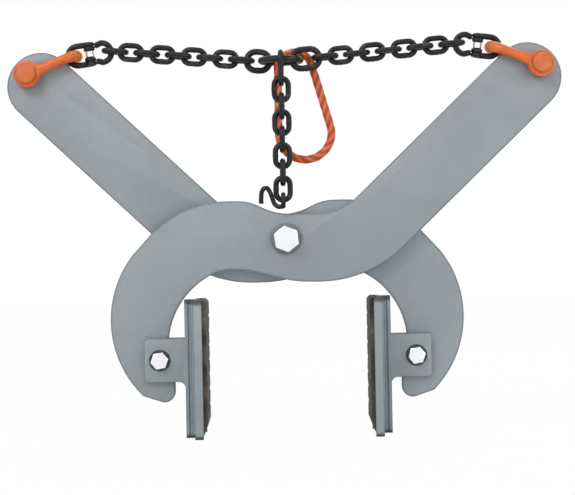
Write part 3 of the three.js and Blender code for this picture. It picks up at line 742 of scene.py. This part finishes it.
def chain_runs():
    for side in SIDES:
        first, last = centre(f"chain_{side}_01"), centre(f"chain_{side}_{CHAIN_LINKS:02d}")
        direction = (last - first).normalized()
        for i in range(1, CHAIN_LINKS + 1):
            link_piece(f"chain_{side}_{i:02d}", direction, i % 2 == 1)
        node = f"chain_{side}_end"
        low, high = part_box(node)
        width = END_WIDTH + 2 * END_WIRE
        length = (high.x - low.x - width) / abs(direction.x) + width - 2 * END_WIRE
        link_piece(node, direction, False, length, END_WIDTH, END_WIRE)


def drop_chain():
    down = Vector((0, 0, -1))
    low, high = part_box("drop_chain_top")
    link_piece("drop_chain_top", down, True, high.z - low.z - 2 * CHAIN_WIRE)
    for i in range(1, DROP_LINKS + 1):
        link_piece(f"drop_chain_{i:02d}", down, i % 2 == 0)


def hub_ring():
    weld = HUB_STEPS / 4
    points, sizes = [], []
    for i in range(HUB_STEPS):
        angle = 2 * math.pi * i / HUB_STEPS
        points.append(Vector((HUB_RADIUS * math.cos(angle), HUB_RADIUS * math.sin(angle), 0)))
        swell = HUB_WELD_SWELL * math.exp(-((i - weld) / HUB_WELD_STEPS) ** 2)
        sizes.append(HUB_WIRE / 2 * (1 + swell))
    verts, faces = tube(points, sizes, HUB_SIDES)
    place = Matrix.Translation(centre("hub_ring"))
    stand_in("hub_ring", mesh_from(verts, faces, place, ROUND_WIRE), chain_black)


def between(start, end, steps):
    """The points inside a straight line that is cut into steps."""
    return [start.lerp(end, i / steps) for i in range(1, steps)]


def pear_path():
    """The lifting link's centre line, its narrow end round the origin and its wide end below."""
    flare = math.degrees(math.asin((PEAR_WIDE - PEAR_NARROW) / PEAR_LENGTH))
    narrow = arc(0, 0, PEAR_NARROW, flare, 180 - flare, LOOP_NARROW_STEPS)
    wide = arc(0, -PEAR_LENGTH, PEAR_WIDE, 180 - flare, 360 + flare, LOOP_WIDE_STEPS)
    left = between(narrow[-1], wide[0], LOOP_LEG_STEPS)
    right = between(wide[-1], narrow[0], LOOP_LEG_STEPS)
    return narrow + left + wide + right


def pear_link():
    points = pear_path()
    shape = tube(points, PEAR_WIRE / 2 * LOOP_SHARE, LOOP_SIDES, strands=LOOP_STRANDS, lays=LOOP_LAYS,
                 relief=LOOP_RELIEF)
    verts, faces = moved(shape, Matrix.Rotation(-PEAR_TILT, 4, "Y"))
    spread = np.array(verts)
    shift = (Vector(spread.min(0)) + Vector(spread.max(0))) / 2
    place = Matrix.Translation(centre("pear_link") - shift)
    loop = stand_in("pear_link", mesh_from(verts, faces, place, ROUND_STRANDS), loop_mid)
    # The strands' grooves get painted shade, and their crests get a painted highlight.
    loop.data.materials.append(loop_painted_shade)
    loop.data.materials.append(loop_painted_highlight)
    for number, face in enumerate(loop.data.polygons):
        along, around = divmod(number, LOOP_SIDES)
        turns = LOOP_STRANDS * around / LOOP_SIDES - LOOP_LAYS * along / len(points)
        height = math.cos(2 * math.pi * turns)
        face.material_index = 1 if height < LOOP_SHADE_BELOW else 2 if height > LOOP_HIGHLIGHT_ABOVE else 0


def drop_hook():
    refined("drop_hook", chain_black, HOOK_EDGE)


# Shackles

def side_matrix(side):
    return about_face() if side == "right" else Matrix.Identity(4)


def waist(x):
    """How thick a shackle's wire is across the bow, as a share of its size. It is full at eye and crown."""
    crown = SHACKLE_INSIDE + SHACKLE_WIRE / 2
    eye_part = EYE_SWELL * math.exp(-(x / EYE_SPREAD) ** 2)
    crown_part = CROWN_SWELL * math.exp(-((x - crown) / CROWN_SPREAD) ** 2)
    return WAIST_SHARE + eye_part + crown_part


def shackle_bow():
    """The bow's wire and its two eyes, the pin's axis at the origin and the crown towards +X."""
    leg = (SHACKLE_GAP + SHACKLE_WIRE) / 2
    straight = SHACKLE_INSIDE - SHACKLE_GAP / 2
    outer = SHACKLE_GAP / 2 + SHACKLE_WIRE
    path = [Vector((straight * share, -leg, 0)) for share in BOW_SHARES]
    path += [Vector((p.x, p.z, 0)) for p in arc(straight, 0, leg, -90, 90, BOW_BEND_STEPS)]
    path += [Vector((straight * share, leg, 0)) for share in BOW_SHARES[::-1]]
    verts, faces = tube(path, SHACKLE_WIRE / 2, BOW_SIDES, closed=False)
    wire = [(x, y, z * waist(x)) for x, y, z in verts], faces
    eye = turned(rimmed(SHACKLE_EYE, 0, SHACKLE_WIRE, EYE_RIM), EYE_STEPS)
    eyes = [moved(eye, Matrix.Translation((0, y, 0))) for y in (-outer, SHACKLE_GAP / 2)]
    return joined(wire, *eyes)


def shackle_pin(outer):
    """A round-headed pin with a threaded end, its head's seat at the origin."""
    tip = 2 * outer + PIN_TAIL
    thread_start = tip - PIN_THREADS * PIN_THREAD_STEP
    shank = [(PIN_RADIUS, -OVERLAP), (PIN_RADIUS, thread_start)]
    for k in range(1, PIN_THREADS - 1):
        shank.append((PIN_RADIUS if k % 2 else PIN_ROOT, thread_start + k * PIN_THREAD_STEP))
    shank.append((PIN_TIP_RADIUS, tip))
    return joined(turned(in_mm(PIN_HEAD_OUTLINE), ROUND_HEAD_STEPS), turned(shank, STEM_STEPS))


def shackles():
    outer = SHACKLE_GAP / 2 + SHACKLE_WIRE + PIN_SLACK
    pin_place = Matrix.Translation((-SHACKLE_PIN_X, ARM_PLANE, SHACKLE_PIN_Z))
    for side in SIDES:
        place = side_matrix(side) @ pin_place @ Matrix.Rotation(-SHACKLE_ANGLE, 4, "Y")
        bow = forged(shackle_bow(), place, BOW_VOXEL, BOW_ROUNDS)
        stand_in(f"shackle_bow_{side}", bow, shackle_orange)
        ahead = place @ side_matrix(side)
        head_seat = ahead @ Matrix.Translation((0, -outer, 0))
        pin = mesh_from(*shackle_pin(outer), head_seat, ROUND_TURNED)
        stand_in(f"shackle_pin_{side}", pin, pin_orange)
        nut = moved(hexagon(SHACKLE_NUT_FLATS, SHACKLE_NUT_HEIGHT), about_face())
        nut_seat = ahead @ Matrix.Translation((0, outer, 0))
        stand_in(f"shackle_nut_{side}", mesh_from(*nut, nut_seat, ROUND_HEAD), shackle_orange)


# Coupling links

def half_link(lug_at, leg_start):
    """One half of a coupling link, a bent bar towards +X that ends in two lugs on the load pin's axis, Z."""
    straight = COUPLING_LENGTH / 2 - COUPLING_END
    middle = lug_at - LUG_LENGTH / 2
    legs = []
    for share in (leg_start, *LEG_SHARES):
        legs.append(Vector((straight * share, 0, -middle + (middle - COUPLING_END) * share)))
    bend = arc(straight, 0, COUPLING_END, -90, 90, COUPLING_BEND_STEPS)
    path = legs + bend + [Vector((p.x, 0, -p.z)) for p in legs[::-1]]
    bar = tube(path, COUPLING_WIRE / 2 * COUPLING_SHARE, COUPLING_SIDES, closed=False)
    lug = turned(rimmed(LUG_RADIUS, -LUG_LENGTH / 2, LUG_LENGTH / 2, LUG_RIM), LUG_STEPS)
    lugs = [moved(lug, Matrix.Translation((0, 0, z)) @ upright()) for z in (-middle, middle)]
    return joined(bar, *lugs)


def load_sleeve(end):
    """The waisted spool on the load pin."""
    flange = end - SLEEVE_RIM
    outline = [
        (SLEEVE_END_RADIUS, -end), (SLEEVE_RADIUS, -flange), (SLEEVE_WAIST_RADIUS, 0),
        (SLEEVE_RADIUS, flange), (SLEEVE_END_RADIUS, end),
    ]
    return turned(outline, SLEEVE_STEPS)


def load_pin(end):
    rim = end - LOAD_PIN_RIM
    outline = [
        (LOAD_PIN_END_RADIUS, -end), (LOAD_PIN_RADIUS, -rim),
        (LOAD_PIN_RADIUS, rim), (LOAD_PIN_END_RADIUS, end),
    ]
    return turned(outline, LOAD_PIN_STEPS)


def coupling_links():
    outer_lug = COUPLING_END + LUG_LENGTH / 2
    inner_lug = outer_lug - LUG_LENGTH - LUG_SLACK
    for side in SIDES:
        sign = 1 if side == "left" else -1
        direction = Vector((sign * math.cos(COUPLING_ANGLE), 0, math.sin(COUPLING_ANGLE)))
        place = basis(centre(f"coupling_pin_{side}"), direction, Vector((0, sign, 0)))
        halves = (
            ("outer", half_link(outer_lug, OUTER_LEG_START), place @ about_face()),
            ("inner", half_link(inner_lug, INNER_LEG_START), place),
        )
        for name, shape, where in halves:
            half = forged(shape, where, COUPLING_VOXEL, COUPLING_ROUNDS)
            stand_in(f"coupling_{name}_{side}", half, chain_black)
        spool = load_sleeve(inner_lug - LUG_LENGTH - SLEEVE_SLACK)
        sleeve = mesh_from(*spool, place @ upright(), ROUND_TURNED)
        stand_in(f"coupling_sleeve_{side}", sleeve, bright_zinc)
        pin = mesh_from(*load_pin(outer_lug + LOAD_PIN_PROUD), place @ upright(), ROUND_TURNED)
        stand_in(f"coupling_pin_{side}", pin, chain_black)


# Bolts

def bolt_stem(radius, end):
    """A threaded stem from the head's seat to y = end."""
    thread = []
    for k in range(THREAD_TURNS):
        depth = 0 if k % 2 else THREAD_DEPTH
        thread.append((radius - depth, end - (THREAD_TURNS - k) * THREAD_STEP))
    thread_start = thread[0][1] - THREAD_RUNOUT
    plain = [(radius * STEM_SHARE, -OVERLAP), (radius * STEM_SHARE, thread_start)]
    return turned(plain + thread + [(radius * STEM_TIP_SHARE, end)], STEM_STEPS)


def bolt_pieces(bolt_node, nut_node, bolt):
    low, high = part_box(bolt_node)
    middle = centre(bolt_node)
    seat = low.y + bolt.head
    turn = Matrix.Rotation(math.radians(bolt.turn), 4, "Y")
    cap = moved(hexagon(bolt.flats, bolt.head), turn)
    whole = joined(cap, bolt_stem(bolt.stem, high.y - seat))
    place = Matrix.Translation((middle.x, seat, middle.z))
    stand_in(bolt_node, mesh_from(*whole, place, ROUND_HEAD), bright_zinc)
    nut = moved(hexagon(bolt.flats, bolt.nut), turn @ about_face())
    nut_place = Matrix.Translation((middle.x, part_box(nut_node)[0].y, middle.z))
    stand_in(nut_node, mesh_from(*nut, nut_place, ROUND_HEAD), bright_zinc)


def jaw_washer(side):
    """The thin dark ring under a jaw bolt's head, which the part leaves out."""
    bolt_node = f"jaw_bolt_{side}"
    middle = centre(bolt_node)
    seat = Matrix.Translation((middle.x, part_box(bolt_node)[0].y + JAW_BOLT.head, middle.z))
    ring = turned(in_mm(JAW_WASHER_OUTLINE), ROUND_HEAD_STEPS)
    washer = piece(f"jaw_washer_{side}", mesh_from(*ring, seat, ROUND_HEAD), dark_steel, f"jaw_{side}")


def bolts():
    bolt_pieces("pivot_bolt", "pivot_nut", PIVOT_BOLT)
    for node in ("pivot_washer_front", "pivot_washer_rear", "pivot_spacer"):
        refined(node, dull_zinc, WASHER_EDGE)
    for side in SIDES:
        bolt_pieces(f"jaw_bolt_{side}", f"jaw_nut_{side}", JAW_BOLT)
        jaw_washer(side)


# Jaws

def weld_bead(start, end):
    """A rippled bead of weld between two points."""
    count = int((end - start).length / WELD_STEP)
    points, sizes = [], []
    for i in range(count + 1):
        points.append(start.lerp(end, i / count))
        ripple = 1 - WELD_RIPPLE + WELD_RIPPLE * abs(math.sin(math.pi * i / WELD_RIPPLE_STEPS))
        sizes.append(WELD_RADIUS * ripple * float(rng.uniform(WELD_THIN, WELD_THICK)))
    verts, faces = tube(points, sizes, WELD_SIDES, closed=False, dome=True)
    return mesh_from(verts, faces, Matrix.Identity(4), ROUND_WIRE)


def jaws():
    for side in SIDES:
        shoe = f"jaw_shoe_{side}"
        refined(shoe, jaw_paint, JAW_EDGE)
        low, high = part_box(shoe)
        sign = -1 if side == "left" else 1
        for number, face in enumerate((-1, 1)):
            y = sign * ARM_PLANE + face * WELD_Y
            foot = Vector((sign * WELD_X, y, low.z + WELD_INSET))
            top = Vector((sign * WELD_X, y, high.z - WELD_INSET))
            bead = piece(f"jaw_weld_{side}_{number}", weld_bead(foot, top), jaw_paint, f"jaw_{side}")
        rubber = f"jaw_rubber_{side}"
        pad = skinned(nodes[rubber].data.copy(), RUBBER_VOXEL, RUBBER_ROUNDS, RUBBER_WOBBLE)
        stand_in(rubber, pad, dark_rubber)


arms()
chain_runs()
drop_chain()
hub_ring()
pear_link()
drop_hook()
shackles()
coupling_links()
bolts()
jaws()


# Floor, light and camera

def seen_plainly(tree):
    """1 for what the camera sees, straight, mirrored or through glass, and 0 for light on the object."""
    path = add(tree, "ShaderNodeLightPath")
    seen = maths(tree, "MAXIMUM", path.outputs["Is Camera Ray"], path.outputs["Is Glossy Ray"])
    return maths(tree, "MAXIMUM", seen, path.outputs["Is Transmission Ray"])


def floor_white():
    """A pale grey that the camera sees almost white, so that a faint shadow stays."""
    mat = bpy.data.materials.new("floor_white")
    mat.use_nodes = True
    tree = mat.node_tree
    shader = tree.nodes["Principled BSDF"]
    shader.inputs["Base Color"].default_value = (FLOOR_GREY, FLOOR_GREY, FLOOR_GREY, 1)
    shader.inputs["Roughness"].default_value = FLOOR_ROUGHNESS
    glow = add(tree, "ShaderNodeEmission", {"Color": (1, 1, 1, 1), "Strength": 1.0})
    share = maths(tree, "MULTIPLY", seen_plainly(tree), FLOOR_WHITE_SHARE)
    mix = add(tree, "ShaderNodeMixShader", {0: share, 1: shader.outputs[0], 2: glow.outputs[0]})
    tree.links.new(mix.outputs[0], tree.nodes["Material Output"].inputs["Surface"])
    return mat


def white_stage():
    corners = [(x * FLOOR_SIZE, y * FLOOR_SIZE, 0) for x, y in ((-1, -1), (1, -1), (1, 1), (-1, 1))]
    mesh = bpy.data.meshes.new("floor")
    mesh.from_pydata(corners, [], [(0, 1, 2, 3)])
    mesh.materials.append(floor_white())
    floor = bpy.data.objects.new("floor", mesh)
    bpy.context.scene.collection.objects.link(floor)


def world_light():
    world = bpy.data.worlds.new("white")
    bpy.context.scene.world = world
    world.use_nodes = True
    tree = world.node_tree
    back = tree.nodes["Background"]
    back.inputs["Color"].default_value = (1, 1, 1, 1)
    inputs = {"Value": seen_plainly(tree), "To Min": WORLD_LEVEL, "To Max": 1.0}
    strength = add(tree, "ShaderNodeMapRange", inputs)
    tree.links.new(strength.outputs["Result"], back.inputs["Strength"])


def area_light(light):
    data = bpy.data.lights.new(light.name, "AREA")
    data.shape = "SQUARE"
    data.size = light.size
    data.energy = light.watts
    obj = bpy.data.objects.new(light.name, data)
    obj.location = light.place
    towards = Vector(LIGHT_TARGET) - Vector(light.place)
    obj.rotation_euler = towards.to_track_quat("-Z", "Y").to_euler()
    bpy.context.scene.collection.objects.link(obj)


def camera():
    data = bpy.data.cameras.new("camera")
    data.sensor_fit = "HORIZONTAL"
    data.sensor_width = SENSOR_WIDTH
    data.lens = SENSOR_WIDTH * CAMERA_DISTANCE / CAMERA_SEES
    obj = bpy.data.objects.new("camera", data)
    obj.location = (CAMERA_X, -CAMERA_DISTANCE, CAMERA_Z)
    obj.rotation_euler = (math.pi / 2, CAMERA_ROLL, 0)
    bpy.context.scene.collection.objects.link(obj)
    bpy.context.scene.camera = obj


white_stage()
world_light()
for light in LIGHTS:
    area_light(light)
camera()
bpy.context.scene.view_settings.view_transform = "Standard"
